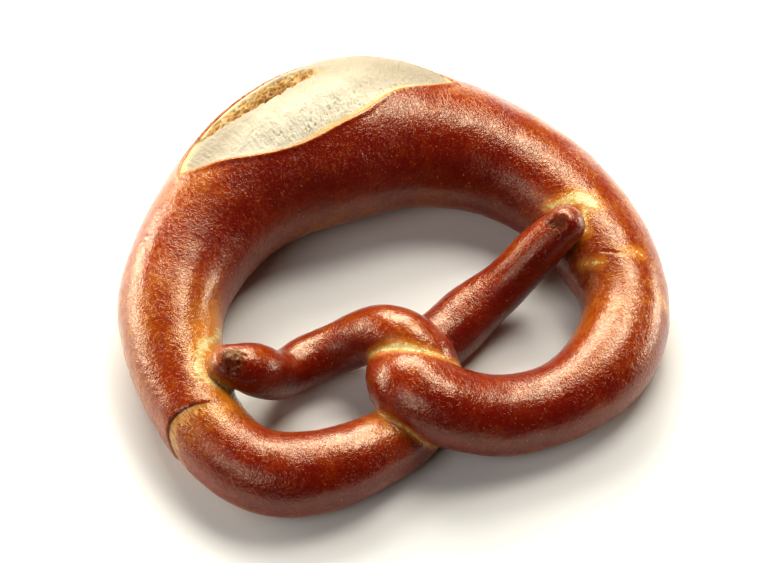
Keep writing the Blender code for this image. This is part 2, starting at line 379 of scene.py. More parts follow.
def line_gap(rope, points, places):
    """Each point's distance to a smooth line through places on the rope, in millimetres."""
    curve = smooth_line([(along, around, 0) for along, around in places], 12)
    line = rope.skin(curve[:, 0], curve[:, 1])[0]
    gap = np.full(len(points), FAR_OFF)
    low, high = line.min(axis=0) - MARK_REACH, line.max(axis=0) + MARK_REACH
    near = np.flatnonzero(((points > low) & (points < high)).all(axis=1))
    if len(near):
        gap[near] = np.linalg.norm(points[near, None] - line[None], axis=2).min(axis=1)
    return gap


def place_gap(rope, points, along, around):
    """Each point's distance to one place on the rope, in millimetres."""
    return np.linalg.norm(points - rope.skin([along], [around])[0], axis=1)


def crust_relief(rope, points, normals, along, around, nearest):
    """How far the crust stands out from the plain rope: trough, fold, tips, wrinkles and swells."""
    girth = rope.sections[nearest, 0]
    arc = np.radians(around) * girth
    inside = split_depth(along, around, girth)
    relief = -TROUGH_DEPTH * blend(inside, 0.1, 1.4)
    relief += 0.35 * blend(inside, -2.2, -0.2) * (1 - blend(inside, -0.2, 0.5))
    relief += fold_relief(along, around)[0]
    for middle, turn, reach, depth in BURNT_TIPS:
        near = 1 - blend(place_gap(rope, points, middle, turn), 0.45 * reach, 1.15 * reach)
        close = np.flatnonzero(near > 0)
        folds = np.abs(grain(points[close], 2.3, 4.1)) + 0.45 * np.abs(grain(points[close], 1.1, 8.3))
        relief[close] += depth * near[close] * (1.6 * folds - 0.75)
    middle, turn, reach, depth = DIMPLE
    relief -= depth * (1 - blend(place_gap(rope, points, middle, turn), 0.3 * reach, 1.5 * reach))
    for places, half_width in CRACKS:
        relief -= 0.22 * (1 - blend(line_gap(rope, points, places), half_width, half_width + 0.8))
    calm = blend(points[:, 2], 1.0, 5.0) * (1 - 0.7 * blend(inside, -0.6, 0))
    swells = 0.30 * grain(points, 15.0, 3.1) + 0.16 * grain(points, 6.5, 7.7)
    rope_places = np.stack([along / 2.1, arc / 3.6, np.zeros(len(along))], axis=1)
    bend = 0.55 * grain(points, 4.0, 6.6)[:, None]
    wrinkles = 1 - 2 * np.abs(grain(rope_places + bend, 1.0, 1.9))
    creased = blend(grain(points, 17.0, 5.5), -0.3, 0.3)
    dented = grain(points, 1.7, 2.7)
    relief += calm * (swells + (0.02 + 0.05 * creased) * wrinkles + 0.045 * dented)
    return relief


def mesh_points(mesh):
    """The mesh's points, in millimetres."""
    points = np.empty(len(mesh.vertices) * 3)
    mesh.vertices.foreach_get("co", points)
    return points.reshape(-1, 3) / MM


def mesh_normals(mesh):
    """The mesh's outward directions at its points."""
    normals = np.empty(len(mesh.vertices) * 3)
    mesh.vertex_normals.foreach_get("vector", normals)
    return normals.reshape(-1, 3)


def move_points(mesh, points):
    mesh.vertices.foreach_set("co", (points * MM).ravel())
    mesh.update()


def paint(mesh, name, values):
    """Stores one number for each point of the mesh, for its material to read."""
    layer = mesh.attributes.new(name, "FLOAT", "POINT")
    layer.data.foreach_set("value", np.asarray(values, np.float32))


def paint_places(mesh, name, vectors):
    layer = mesh.attributes.new(name, "FLOAT_VECTOR", "POINT")
    layer.data.foreach_set("vector", np.asarray(vectors, np.float32).ravel())


def apply_modifier(kind, name, **values):
    modifier = bpy.context.object.modifiers.new(name, kind)
    for key, value in values.items():
        setattr(modifier, key, value)
    bpy.ops.object.modifier_apply(modifier=modifier.name)


def tube(rope):
    """The whole rope as one closed tube, extruded ring by ring from a circle at the left tip."""
    bpy.ops.object.select_all(action="DESELECT")
    bpy.ops.mesh.primitive_circle_add(vertices=POINTS_AROUND, radius=1, fill_type="NGON")
    piece = bpy.context.object
    rings = rope.rings()
    bpy.ops.object.mode_set(mode="EDIT")
    mesh = bmesh.from_edit_mesh(piece.data)
    for point in mesh.verts:
        point.co = rings[0] @ point.co
    for before, after in zip(rings, rings[1:]):
        bpy.ops.mesh.extrude_region_move()
        step = after @ before.inverted()
        mesh = bmesh.from_edit_mesh(piece.data)
        for face in mesh.faces:
            if face.select:
                for point in face.verts:
                    point.co = step @ point.co
    bpy.ops.mesh.select_all(action="SELECT")
    bpy.ops.mesh.normals_make_consistent(inside=False)
    bpy.ops.object.mode_set(mode="OBJECT")
    return piece


def finish_piece(piece, name, material):
    piece.name = piece.data.name = name
    piece.data.materials.clear()
    piece.data.materials.append(material)
    piece.data.shade_smooth()
    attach(piece, "root")
    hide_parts(DOUGH_NODE)


# ---------------------------------------------------------------- material nodes


class Nodes:
    """Adds nodes to a material, each call returning the new node's output."""

    def __init__(self, name):
        self.material = bpy.data.materials.new(name)
        self.material.use_nodes = True
        self.tree = self.material.node_tree
        self.shader = self.tree.nodes["Principled BSDF"]

    def add(self, kind, **values):
        node = self.tree.nodes.new(kind)
        for key, value in values.items():
            setattr(node, key, value)
        return node

    def join(self, socket, value):
        if isinstance(value, bpy.types.NodeSocket):
            self.tree.links.new(value, socket)
        else:
            socket.default_value = value

    def painted(self, name, output="Fac"):
        return self.add("ShaderNodeAttribute", attribute_name=name).outputs[output]

    def place(self):
        """Object coordinates in millimetres."""
        return self.vector("SCALE", self.add("ShaderNodeTexCoord").outputs["Object"], scale=1 / MM)

    def vector(self, operation, first, second=None, scale=None):
        node = self.add("ShaderNodeVectorMath", operation=operation)
        self.join(node.inputs[0], first)
        if second is not None:
            self.join(node.inputs[1], second)
        if scale is not None:
            node.inputs["Scale"].default_value = scale
        return node.outputs["Vector"]

    def calc(self, operation, first, second=0.0, clamp=False):
        node = self.add("ShaderNodeMath", operation=operation, use_clamp=clamp)
        self.join(node.inputs[0], first)
        self.join(node.inputs[1], second)
        return node.outputs[0]

    def step(self, value, start, end, low=0.0, high=1.0):
        """low before start, high past end, and a smooth step between."""
        node = self.add("ShaderNodeMapRange", interpolation_type="SMOOTHSTEP")
        for socket, given in zip(node.inputs, (value, start, end, low, high)):
            self.join(socket, given)
        return node.outputs[0]

    def noise(self, place, scale, detail=2.0, roughness=0.5, distortion=0.0):
        node = self.add("ShaderNodeTexNoise")
        self.join(node.inputs["Vector"], place)
        values = {"Scale": scale, "Detail": detail, "Roughness": roughness, "Distortion": distortion}
        for name, value in values.items():
            node.inputs[name].default_value = value
        return node.outputs["Fac"]

    def cells(self, place, scale, feature="F1", output="Distance"):
        node = self.add("ShaderNodeTexVoronoi", feature=feature)
        self.join(node.inputs["Vector"], place)
        node.inputs["Scale"].default_value = scale
        return node.outputs[output]

    def ramp(self, value, *stops):
        node = self.add("ShaderNodeValToRGB")
        self.join(node.inputs["Fac"], value)
        elements = node.color_ramp.elements
        while len(elements) < len(stops):
            elements.new(0.5)
        for element, (place, colour) in zip(elements, stops):
            element.position = place
            element.color = (*colour, 1.0)
        return node.outputs["Color"]

    def mix(self, share, first, second):
        node = self.add("ShaderNodeMix", data_type="RGBA")
        self.join(node.inputs[0], share)
        for socket, colour in ((node.inputs[6], first), (node.inputs[7], second)):
            self.join(socket, colour if isinstance(colour, bpy.types.NodeSocket) else (*colour, 1.0))
        return node.outputs[2]

    def bump(self, height, distance):
        """A surface normal tilted by the height, whose full depth is distance millimetres."""
        node = self.add("ShaderNodeBump")
        self.join(node.inputs["Height"], height)
        node.inputs["Strength"].default_value = 1.0
        node.inputs["Distance"].default_value = distance * MM
        return node.outputs["Normal"]


def crust_material(look):
    """Baked crust: brown by how far it browned, with painted shade on its front-facing sides and in its crease and
    crack and painted light underneath, pale where it stretched, leathery in its shine.
    """
    n = Nodes("baked_crust")
    place, rope = n.place(), n.painted("rope", "Vector")
    broad = n.noise(place, 0.06, 3.0)
    blotch = n.noise(place, 0.22, 4.0, 0.6)
    fine = n.noise(place, 0.9, 4.0, 0.65)
    # the painted browning also holds painted shade on the front-facing sides and painted light on the underside
    browning_light_and_shade = n.calc("ADD", n.painted("browning_light_and_shade"), n.step(broad, 0.3, 0.7, -0.10, 0.10))
    browning_light_and_shade = n.calc("ADD", browning_light_and_shade, n.step(blotch, 0.3, 0.7, -0.13, 0.13))
    browning_light_and_shade = n.calc("ADD", browning_light_and_shade, n.step(fine, 0.35, 0.65, -0.13, 0.13))
    crackle = n.step(n.cells(place, 0.75, "DISTANCE_TO_EDGE"), 0.0, 0.2)
    browning_light_and_shade = n.calc("ADD", browning_light_and_shade, n.step(crackle, 0.0, 1.0, 0.10, -0.02))
    colour = n.ramp(browning_light_and_shade, (0.0, look.gold), (0.32, look.amber), (0.62, look.chestnut), (1.0, look.mahogany))
    # light specks, where the dough's skin blistered
    clustered = n.step(n.noise(place, 0.16, 3.0), 0.45, 0.62, 0.1, 1.0)
    for scale, reach in ((0.47, 0.16), (1.05, 0.24)):
        speck = n.cells(place, scale)
        chosen = n.step(n.cells(place, scale, output="Color"), 0.42, 0.75)
        dots = n.calc("MULTIPLY", n.step(speck, 0.4 * reach, 1.2 * reach, 0.85, 0.0), chosen)
        colour = n.mix(n.calc("MULTIPLY", dots, clustered), colour, look.speck)
    # the crease of the fold, and the fibrous dough drawn out below it
    past, lap = n.painted("past"), n.painted("lap")
    fibres = n.noise(n.vector("MULTIPLY", rope, (0.34, 1.5, 1.0)), 1.0, 4.0, 0.65)
    drawn = n.calc("MULTIPLY", n.step(n.calc("ADD", past, n.step(fibres, 0.3, 0.7, -1.8, 1.8)), -4.6, -1.0), lap)
    drawn = n.calc("MULTIPLY", drawn, n.step(past, -0.5, 0.0, 0.9, 0.0))
    colour = n.mix(drawn, colour, n.mix(n.step(fibres, 0.36, 0.56), look.amber, look.drawn))
    # bare, stretched dough, with a golden border
    ragged = n.step(n.noise(place, 0.9, 5.0, 0.7), 0.2, 0.8, -1.0, 1.0)
    streaks = n.noise(n.vector("MULTIPLY", rope, (1.2, 0.5, 1.0)), 1.0, 4.0, 0.7)
    bare = n.calc("ADD", n.painted("bare"), n.calc("MULTIPLY", ragged, 0.8))
    bare = n.calc("ADD", bare, n.step(streaks, 0.3, 0.7, -0.5, 0.5))
    colour = n.mix(n.step(bare, -3.0, -0.3, 0.0, 0.8), colour, look.gold)
    bareness = n.step(bare, -0.35, 0.35)
    pale = n.step(n.calc("ADD", bare, n.step(streaks, 0.3, 0.7, -1.3, 1.3)), 0.3, 1.8)
    colour = n.mix(bareness, colour, n.mix(pale, look.bare, look.pale))
    # the split's rim, and the cut wall just inside it
    inside = n.painted("split")
    colour = n.mix(n.calc("MULTIPLY", n.step(inside, -0.9, 0.0), n.painted("lip")), colour, look.gold)
    # painted shade: dark lines in the fold's crease and in the crack; and the charred tips of the arms
    line = n.step(n.calc("ABSOLUTE", n.calc("ADD", past, 0.1)), 0.05, 0.36, 0.6, 0.0)
    line = n.calc("MULTIPLY", line, n.calc("MULTIPLY", lap, n.step(blotch, 0.3, 0.55, 0.6, 1.0)))
    cracked = n.step(n.calc("ADD", n.painted("crack"), n.calc("MULTIPLY", ragged, 0.3)), -0.1, 0.35, 0.6, 0.0)
    scorch = n.step(n.calc("ADD", n.painted("burnt_and_shade"), n.calc("MULTIPLY", ragged, 1.0)), -0.8, 2.4, 0.0, 0.85)
    dark = n.calc("MAXIMUM", n.calc("MAXIMUM", line, cracked), scorch)
    colour = n.mix(dark, colour, look.burnt_and_shade)
    n.join(n.shader.inputs["Base Color"], colour)

    leather = n.noise(n.vector("MULTIPLY", rope, (0.85, 0.62, 1.0)), 1.0, 3.0, 0.55, 0.6)
    leather = n.step(n.calc("ABSOLUTE", n.calc("SUBTRACT", leather, 0.5)), 0.0, 0.12)
    strength = n.step(n.noise(place, 0.07, 2.0), 0.35, 0.62, 0.55, 1.0)
    height = n.calc("ADD", n.calc("MULTIPLY", leather, 0.85), n.calc("MULTIPLY", crackle, 0.4))
    height = n.calc("MULTIPLY", n.calc("ADD", height, n.calc("MULTIPLY", fine, 0.2)), strength)
    height = n.calc("ADD", height, n.calc("MULTIPLY", bareness, n.calc("MULTIPLY", streaks, 1.5)))
    relief = n.bump(height, look.leather_depth)
    n.join(n.shader.inputs["Normal"], relief)
    n.join(n.shader.inputs["Coat Normal"], relief)
    dull = n.calc("ADD", n.calc("MULTIPLY", bareness, 0.2), n.calc("MULTIPLY", scorch, 0.05))
    n.join(n.shader.inputs["Roughness"], n.calc("ADD", dull, look.roughness))
    n.shader.inputs["IOR"].default_value = CRUST_IOR
    n.shader.inputs["Specular IOR Level"].default_value = look.glow
    n.shader.inputs["Specular Tint"].default_value = (*look.glow_colour, 1.0)
    n.join(n.shader.inputs["Coat Weight"], n.calc("MULTIPLY", n.painted("glaze"), look.glaze))
    n.shader.inputs["Coat Roughness"].default_value = look.glaze_roughness
    n.shader.inputs["Coat IOR"].default_value = GLAZE_IOR
    return n.material


def crumb_material(look):
    """Pale torn crumb, toasted in the tear and yellow beside the crust, with painted shade on its far side, in its
    pits and in the tear's holes.
    """
    n = Nodes("torn_crumb")
    place = n.place()
    fine = n.noise(place, 1.6, 4.0, 0.6)
    patches = n.step(n.noise(place, 0.3, 4.0, 0.6), 0.35, 0.65)
    colour = n.mix(patches, look.cream, look.ivory)
    # painted shade: the crumb's far, upper side is darker, to even out the stronger light it gets from behind
    colour = n.mix(n.painted("back"), colour, look.back)
    colour = n.mix(n.step(fine, 0.5, 0.75, 0.0, 0.35), colour, look.pore)
    # painted shade inside the pits, which the crumb's relief sinks
    colour = n.mix(n.calc("MULTIPLY", n.painted("pit"), 0.9, clamp=True), colour, look.pore)
    colour = n.mix(n.painted("band"), colour, look.butter)
    # toasted in the tear, with painted shade in its holes and on its near wall
    toast_and_shade = n.calc("ADD", n.painted("toast_and_shade"), n.step(fine, 0.3, 0.7, -0.12, 0.12))
    toasted = n.ramp(toast_and_shade, (0.0, look.strand), (0.35, look.toasted), (1.0, look.deep_toast_and_shade))
    colour = n.mix(n.step(n.painted("toast_and_shade"), 0.02, 0.22), colour, toasted)
    colour = n.mix(n.painted("rim"), colour, look.rim)
    n.join(n.shader.inputs["Base Color"], colour)
    height = n.calc("ADD", fine, n.calc("MULTIPLY", n.noise(place, 4.0, 2.0), 0.4))
    n.join(n.shader.inputs["Normal"], n.bump(height, CRUMB_BUMP))
    n.shader.inputs["Roughness"].default_value = CRUMB_ROUGHNESS
    n.shader.inputs["IOR"].default_value = CRUMB_IOR
    n.shader.inputs["Specular IOR Level"].default_value = CRUMB_SPECULAR
    return n.material


# ---------------------------------------------------------------- settings


def colour_property(name, description, default):
    return FloatVectorProperty(name=name, description=description, default=default, min=0, max=1, subtype="COLOR")


class CrustSettings(bpy.types.PropertyGroup):
    fineness: FloatProperty(
        name="Fineness",
        description="Edge length of the crust's mesh before it is thinned",
        default=0.55 * MM,
        unit="LENGTH",
    )
    softening: IntProperty(
        name="Softening", description="Smoothing steps on the creases where dough met dough", default=14)
    triangles: IntProperty(name="Triangles", description="Faces that the crust keeps", default=190000)
    leather_depth: FloatProperty(
        name="Leather depth", description="Depth of the crust's fine wrinkles, in millimetres", default=0.056)
    roughness: FloatProperty(
        name="Roughness", description="How soft the crust's warm glow is", default=0.29, subtype="FACTOR")
    glow: FloatProperty(name="Glow", description="Strength of the warm glow", default=0.4, subtype="FACTOR")
    glow_colour: colour_property("Glow colour", "Colour of the warm glow", (1.0, 0.72, 0.22))
    glaze: FloatProperty(
        name="Glaze", description="Strength of the crust's clear shine", default=0.95, subtype="FACTOR")
    glaze_roughness: FloatProperty(
        name="Glaze roughness", description="How soft the clear shine is", default=0.11, subtype="FACTOR")
    gold: colour_property("Gold", "Lightest crust", (0.39, 0.131, 0.010))
    amber: colour_property("Amber", "Lightly baked crust", (0.245, 0.061, 0.003))
    chestnut: colour_property("Chestnut", "Well baked crust", (0.190, 0.0200, 0.0010))
    mahogany: colour_property("Mahogany", "Darkest crust", (0.122, 0.0028, 0.0006))
    speck: colour_property("Speck", "Small blisters on the crust", (0.40, 0.17, 0.06))
    drawn: colour_property("Drawn dough", "Fibres below the fold", (0.43, 0.235, 0.075))
    bare: colour_property("Bare dough", "Dough that stretched and stayed pale", (0.40, 0.26, 0.075))
    pale: colour_property("Palest dough", "The middle of the bare patches", (0.47, 0.395, 0.23))
    # the arms' charred tips, and the painted shade in the fold's crease and in the crack
    burnt_and_shade: colour_property("Burnt", "Cracks and burnt tips", (0.045, 0.0040, 0.0025))


class CrumbSettings(bpy.types.PropertyGroup):
    steps_along: IntProperty(name="Steps along", description="Faces along the split", default=290)
    steps_across: IntProperty(name="Steps across", description="Faces across the split", default=120)
    pore_depth: FloatProperty(
        name="Pore depth", description="Depth of the crumb's pores, in millimetres", default=0.45)
    cream: colour_property("Cream", "Main colour of the crumb", (0.565, 0.512, 0.436))
    ivory: colour_property("Ivory", "Lighter patches of the crumb", (0.61, 0.572, 0.515))
    # painted shade for the crumb's far, upper side, evening out the stronger light from behind
    back: colour_property("Back", "The crumb's far side", (0.272, 0.237, 0.197))
    strand: colour_property("Strand", "Light strands in the tear", (0.42, 0.32, 0.17))
    rim: colour_property("Rim", "The thin line where crumb meets crust", (0.15, 0.067, 0.016))
    butter: colour_property("Butter", "The crumb beside the crust", (0.56, 0.43, 0.20))
    # also the painted shade inside the pits, besides a random mottle
    pore: colour_property("Pore", "Inside the small pores", (0.40, 0.30, 0.155))
    toasted: colour_property("Toasted", "Walls of the tear", (0.28, 0.15, 0.045))
    # painted shade at the bottom of the tear's holes, over toasted crumb
    deep_toast_and_shade: colour_property("Scorched", "Bottom of the tear's holes", (0.116, 0.0435, 0.01044))


class StudioSettings(bpy.types.PropertyGroup):
    floor_colour: colour_property("Floor", "Colour of the floor", (0.64, 0.645, 0.71))
    room_light: FloatProperty(name="Room light", description="Even light from all sides", default=0.04)
    horizon_light: FloatProperty(name="Horizon light", description="The pale band low behind and beside", default=0.4)
    light_scale: FloatProperty(name="Light", description="Strength of all the soft boxes", default=0.98)
    azimuth: FloatProperty(
        name="Azimuth",
        description="The camera's direction, from the front",
        default=math.radians(-21),
        subtype="ANGLE",
    )
    elevation: FloatProperty(
        name="Elevation",
        description="The camera's height above the floor",
        default=math.radians(56),
        subtype="ANGLE",
    )
    distance: FloatProperty(
        name="Distance", description="From the camera to the pretzel", default=0.664, unit="LENGTH")
    gamma: FloatProperty(name="Gamma", description="The view's gamma, less than 1 for more contrast", default=0.9)
    lens: FloatProperty(name="Lens", description="The camera's focal length in millimetres", default=100.0)


# ---------------------------------------------------------------- operators


class PRETZEL_OT_crust(bpy.types.Operator):
    """Extrude the rope, fuse its passes, sculpt the crust and give it its oven colours, with painted shade and
    painted light among them
    """

    bl_idname = "pretzel.crust"
    bl_label = "Bake Crust"

    def execute(self, context):
        look = context.scene.pretzel_crust
        rope = Rope()
        piece = tube(rope)
        apply_modifier("REMESH", "fuse", mode="VOXEL", voxel_size=look.fineness)
        apply_modifier("SMOOTH", "soften", factor=0.5, iterations=look.softening)
        mesh = piece.data
        points, normals = mesh_points(mesh), mesh_normals(mesh)
        points += crust_relief(rope, points, normals, *rope.places(points))[:, None] * normals
        points[:, 2] = np.maximum(points[:, 2], 0)
        move_points(mesh, points)
        faces = sum(len(face.vertices) - 2 for face in mesh.polygons)
        apply_modifier("DECIMATE", "thin out", ratio=look.triangles / faces)
        mesh = piece.data
        self.colour(rope, mesh)
        self.settle(mesh)
        finish_piece(piece, "crust", crust_material(look))
        return {"FINISHED"}

    def colour(self, rope, mesh):
        points, normals = mesh_points(mesh), mesh_normals(mesh)
        along, around, nearest = rope.places(points)
        girth = rope.sections[nearest, 0]
        arc = np.radians(around) * girth
        # Darker on top as the crust browned, and lighter on the underside as painted light from the floor.
        browning_light_and_shade = 0.22 + 0.24 * blend(normals[:, 2], -0.75, -0.1) + 0.20 * blend(normals[:, 2], -0.3, 0.5)
        # Painted shade: darker on the sides that face the front, away from the lights.
        browning_light_and_shade += 0.31 * blend(-normals[:, 1], -0.15, 0.6) * blend(points[:, 2], 4, 13)
        for middle, turn, reach_along, reach_around, amount in BROWNING_AND_LIGHT_PLACES:
            distance = ((along - middle) / reach_along) ** 2 + ((arc - np.radians(turn) * girth) / reach_around) ** 2
            browning_light_and_shade -= amount * np.exp(-distance)
        other = rope.other_pass(points, along)
        browning_light_and_shade -= 0.25 * (1 - blend(other, 0.4, 4.5))
        uneven = 0.75 * grain(points, 3.6, 2.6) + 0.45 * grain(points, 1.4, 5.2)
        bare = -0.4 - 1.8 * other
        for places, half_width in BARE_PATCHES:
            bare = np.maximum(bare, half_width * (1 + uneven) - line_gap(rope, points, places))
        for places, reach, half_width in BARE_CREASES:
            beyond = np.maximum(line_gap(rope, points, places) - reach, 0)
            bare = np.maximum(bare, half_width * (1.5 + 1.2 * uneven) - 1.6 * other - beyond)
        crack = np.full(len(points), MARK_REACH)
        for places, half_width in CRACKS:
            crack = np.minimum(crack, line_gap(rope, points, places) - half_width)
        burnt_and_shade = np.full(len(points), -MARK_REACH)
        for middle, turn, reach, _ in BURNT_TIPS:
            burnt_and_shade = np.maximum(burnt_and_shade, reach - place_gap(rope, points, middle, turn))
        _, past, lap = fold_relief(along, around)
        glaze = 0.25 + 0.75 * blend(normals[:, 2], -0.3, 0.45)
        glaze *= 1 - 0.85 * blend(burnt_and_shade, 0.0, 2.0)
        paint(mesh, "glaze", glaze)
        paint(mesh, "browning_light_and_shade", np.clip(browning_light_and_shade, 0, 1))
        paint(mesh, "burnt_and_shade", burnt_and_shade + 1.2 * uneven)
        paint(mesh, "lap", lap)
        paint(mesh, "lip", 0.75 - 0.7 * blend(around, 30, 42))
        inside = split_depth(along, around, girth)
        for name, distance in (("bare", bare), ("crack", crack), ("past", past), ("split", inside)):
            paint(mesh, name, np.clip(distance, -MARK_REACH, MARK_REACH))
        paint_places(mesh, "rope", np.stack([along, arc, np.zeros(len(arc))], axis=1))

    def settle(self, mesh):
        """The underside becomes truly flat, and the middle of the whole comes over the origin."""
        points = mesh_points(mesh)
        points[points[:, 2] < FLAT_BELOW, 2] = 0
        shift = (points.min(axis=0) + points.max(axis=0)) / 2
        points[:, :2] -= shift[:2]
        move_points(mesh, points)
        bpy.context.scene["pretzel_shift"] = shift.tolist()


class PRETZEL_OT_crumb(bpy.types.Operator):
    """Fill the belly's split with torn crumb"""

    bl_idname = "pretzel.crumb"
    bl_label = "Tear Crumb"

    def execute(self, context):
        look = context.scene.pretzel_crumb
        rope = Rope()
        bpy.ops.object.select_all(action="DESELECT")
        bpy.ops.mesh.primitive_grid_add(x_subdivisions=look.steps_along, y_subdivisions=look.steps_across, size=2)
        piece = bpy.context.object
        top_count = len(piece.data.vertices)
        bpy.ops.object.mode_set(mode="EDIT")
        bpy.ops.mesh.select_all(action="SELECT")
        bpy.ops.mesh.extrude_region_move(TRANSFORM_OT_translate={"value": (0, 0, -1)})
        bpy.ops.mesh.select_all(action="SELECT")
        bpy.ops.mesh.normals_make_consistent(inside=False)
        bpy.ops.object.mode_set(mode="OBJECT")
        mesh = piece.data
        flat = np.empty(len(mesh.vertices) * 3)
        mesh.vertices.foreach_get("co", flat)
        flat = flat.reshape(-1, 3)
        top = flat[:, 2] > -0.5
        if top.sum() != top_count:
            raise RuntimeError("the crumb's top sheet isn't whole")
        first, last = SPLIT_NEAR_EDGE[0][0] + CRUMB_INSET, SPLIT_NEAR_EDGE[-1][0] - CRUMB_INSET
        along = first + (last - first) * (flat[:, 0] + 1) / 2
        section = rope.column_at(rope.sections, along)
        per_degree = section[:, 0] * math.pi / 180
        near = edge_at(SPLIT_NEAR_EDGE, along) - CRUMB_TUCK / per_degree
        far = edge_at(SPLIT_FAR_EDGE, along) + CRUMB_TUCK / per_degree
        around = near + (far - near) * (flat[:, 1] + 1) / 2
        points, normals = rope.skin(along, around)
        inside = split_depth(along, around, section[:, 0])
        marks = self.relief(along, around, section[:, 0], inside, look)
        level = np.where(top, marks["level"], CRUMB_FLOOR)
        points += level[:, None] * normals
        shift = np.array(context.scene["pretzel_shift"])
        points[:, :2] -= shift[:2]
        move_points(mesh, points)
        for name in ("pit", "toast_and_shade", "band", "rim", "back"):
            paint(mesh, name, np.clip(np.where(top, marks[name], 0), 0, 1))
        finish_piece(piece, "crumb", crumb_material(look))
        return {"FINISHED"}

    def relief(self, along, around, girth, inside, look):
        """The crumb's height over the plain rope, and how deep, toasted or buttery each place is, with painted shade
        in its pits, in the tear's holes and on its far side.
        """
        per_degree = girth * math.pi / 180
        arc = around * per_degree
        flat = np.stack([along, arc, np.zeros(len(along))], axis=1)
        first, last = SPLIT_NEAR_EDGE[0][0], SPLIT_NEAR_EDGE[-1][0]
        swell = CRUMB_SWELL[0] + (CRUMB_SWELL[1] - CRUMB_SWELL[0]) * blend(along, first, last / 2)
        level = -0.35 + swell * blend(inside, 0, SWELL_WIDTH) + 1.3 * np.minimum(inside, 0)
        open_crumb = blend(inside, 0.5, 3.0)
        # strands pulled across the split
        strands = 1 - 2 * np.abs(grain(flat / (0.9, 4.5, 1), 1.0, 4.4))
        fine = grain(flat, 0.9, 8.8) + 0.5 * grain(flat, 0.45, 2.2)
        waves = 0.30 * grain(flat, 7.0, 6.1) + 0.12 * grain(flat, 2.6, 1.8)
        level += open_crumb * (0.15 * strands + 0.08 * fine + waves)
        # pores, thickest a little way in from the near edge
        from_near = (around - edge_at(SPLIT_NEAR_EDGE, along)) * per_degree
        porous = blend(from_near, 0.8, 2.5) * (1 - blend(from_near, 6, 12)) * blend(along, -36, -24)
        tilted = flat @ np.array([[1, -0.35, 0], [0.35, 1, 0], [0, 0, 1]]) / (0.75, 1.7, 1)
        pores = (1 - blend(cells(tilted, 1.0, 9.3)[0], 0.14, 0.40)) * blend(grain(flat, 2.8, 5.7), -0.1, 0.25)
        scattered = (1 - blend(cells(flat, 0.8, 1.3)[0], 0.10, 0.26)) * blend(grain(flat, 3.0, 3.7), 0.1, 0.4)
        pit = np.maximum(porous * pores, 0.45 * open_crumb * scattered)
        level -= look.pore_depth * pit
        # the tear along the crest
        near, far = edge_at(TEAR_NEAR_EDGE, along), edge_at(TEAR_FAR_EDGE, along)
        ragged = 0.10 * grain(flat, 1.9, 7.1) + 0.05 * grain(flat, 0.7, 3.3)
        share = (around - near) / np.maximum(far - near, 0.5) + ragged
        run = blend(along, TEAR_NEAR_EDGE[0][0], TEAR_NEAR_EDGE[1][0])
        run *= blend(-along, -TEAR_NEAR_EDGE[-1][0], -TEAR_NEAR_EDGE[-3][0])
        torn = blend(share, 0.0, 0.12) * (1 - blend(share, 0.88, 1.06)) * run
        first_gap, second_gap = cells(flat / (1.25, 1.0, 1) + 0.3 * grain(flat, 1.4, 9.9)[:, None], 1.7, 2.9)
        small_gap, next_gap = cells(flat, 0.85, 6.9)
        thin_web = 0.55 * (1 - blend(next_gap - small_gap, 0.05, 0.3))
        web = np.maximum(1 - blend(second_gap - first_gap, 0.05, 0.34), thin_web)
        slope = np.clip(1.05 - share, 0, 1) ** 0.8
        level -= torn * (TEAR_DEPTH * slope * 0.7 + 1.5 * (1 - web) + 0.4 * grain(flat, 2.4, 5.1))
        # the tear's walls are toasted, with painted shade darkest in its holes and on its steep near wall, fading
        # towards its far side
        toast_and_shade = 0.10 + (0.12 + 0.66 * (1 - web)) * (1 - 0.6 * blend(share, 0.35, 0.95)) + 0.25 * grain(flat, 2.2, 1.1)
        toast_and_shade = torn * (toast_and_shade + 0.12 * slope)
        to_far = (edge_at(SPLIT_FAR_EDGE, along) - around) * per_degree
        from_rim = from_near + 0.5 * grain(flat, 2.0, 2.4)
        band = blend(along, -15, -6) * (1 - blend(along, 21, 30)) * (1 - blend(from_rim, 1.0, 2.2))
        band = np.maximum(0.85 * band, 0.5 * (1 - blend(to_far, 3.0, 6.0)))
        edge = 1 - blend(inside + 0.12 * grain(flat, 1.5, 6.3), 0.0, 0.40)
        skin = 1 - blend(to_far + 0.5 * grain(flat, 3.0, 8.2), 0.5, 1.1)
        marks = {"level": level, "pit": pit * (1 - torn), "toast_and_shade": toast_and_shade, "band": band, "rim": np.maximum(edge, skin)}
        # back: painted shade on the crumb's far, upper side
        marks["back"] = blend(around, -16, 26)
        return marks


WARM_LIGHT = (1.0, 0.952, 0.765)
FILL_LIGHT = (1.0, 0.955, 0.83)
BOX_DISTANCE = 0.90
# Each soft box: azimuth and elevation from the pretzel in degrees, width, height (m), power (W), colour.
SOFT_BOXES = (
    ("back_box", 168, 40, 0.64, 0.50, 17.2, WARM_LIGHT),
    ("back_right_box", 122, 60, 0.40, 0.36, 8.2, WARM_LIGHT),
    ("left_strip", -131, 11, 0.66, 0.38, 10.5, WARM_LIGHT),
    ("right_strip", 84, 8, 0.50, 0.27, 5.4, WARM_LIGHT),
    ("front_left_box", -66, 42, 0.50, 0.50, 3.2, FILL_LIGHT),
)
AIM = Vector((0.0, -0.0039, 0.0133))  # the place on the pretzel that the lights and the camera point at
FLOOR_SIZE = 8
FLOOR_ROUGHNESS = 0.9
FLOOR_MOTTLE = 0.985
ROOM_COLOUR = (1.0, 0.99, 0.97, 1.0)


def toward(azimuth, elevation):
    """The direction from the pretzel at an azimuth from the front, positive to the right, and an elevation."""
    return Vector((
        math.sin(azimuth) * math.cos(elevation), -math.cos(azimuth) * math.cos(elevation), math.sin(elevation)))


def look_at(thing, direction, distance):
    thing.location = AIM + direction * distance
    thing.rotation_mode = "QUATERNION"
    thing.rotation_quaternion = (-direction).to_track_quat("-Z", "Y")


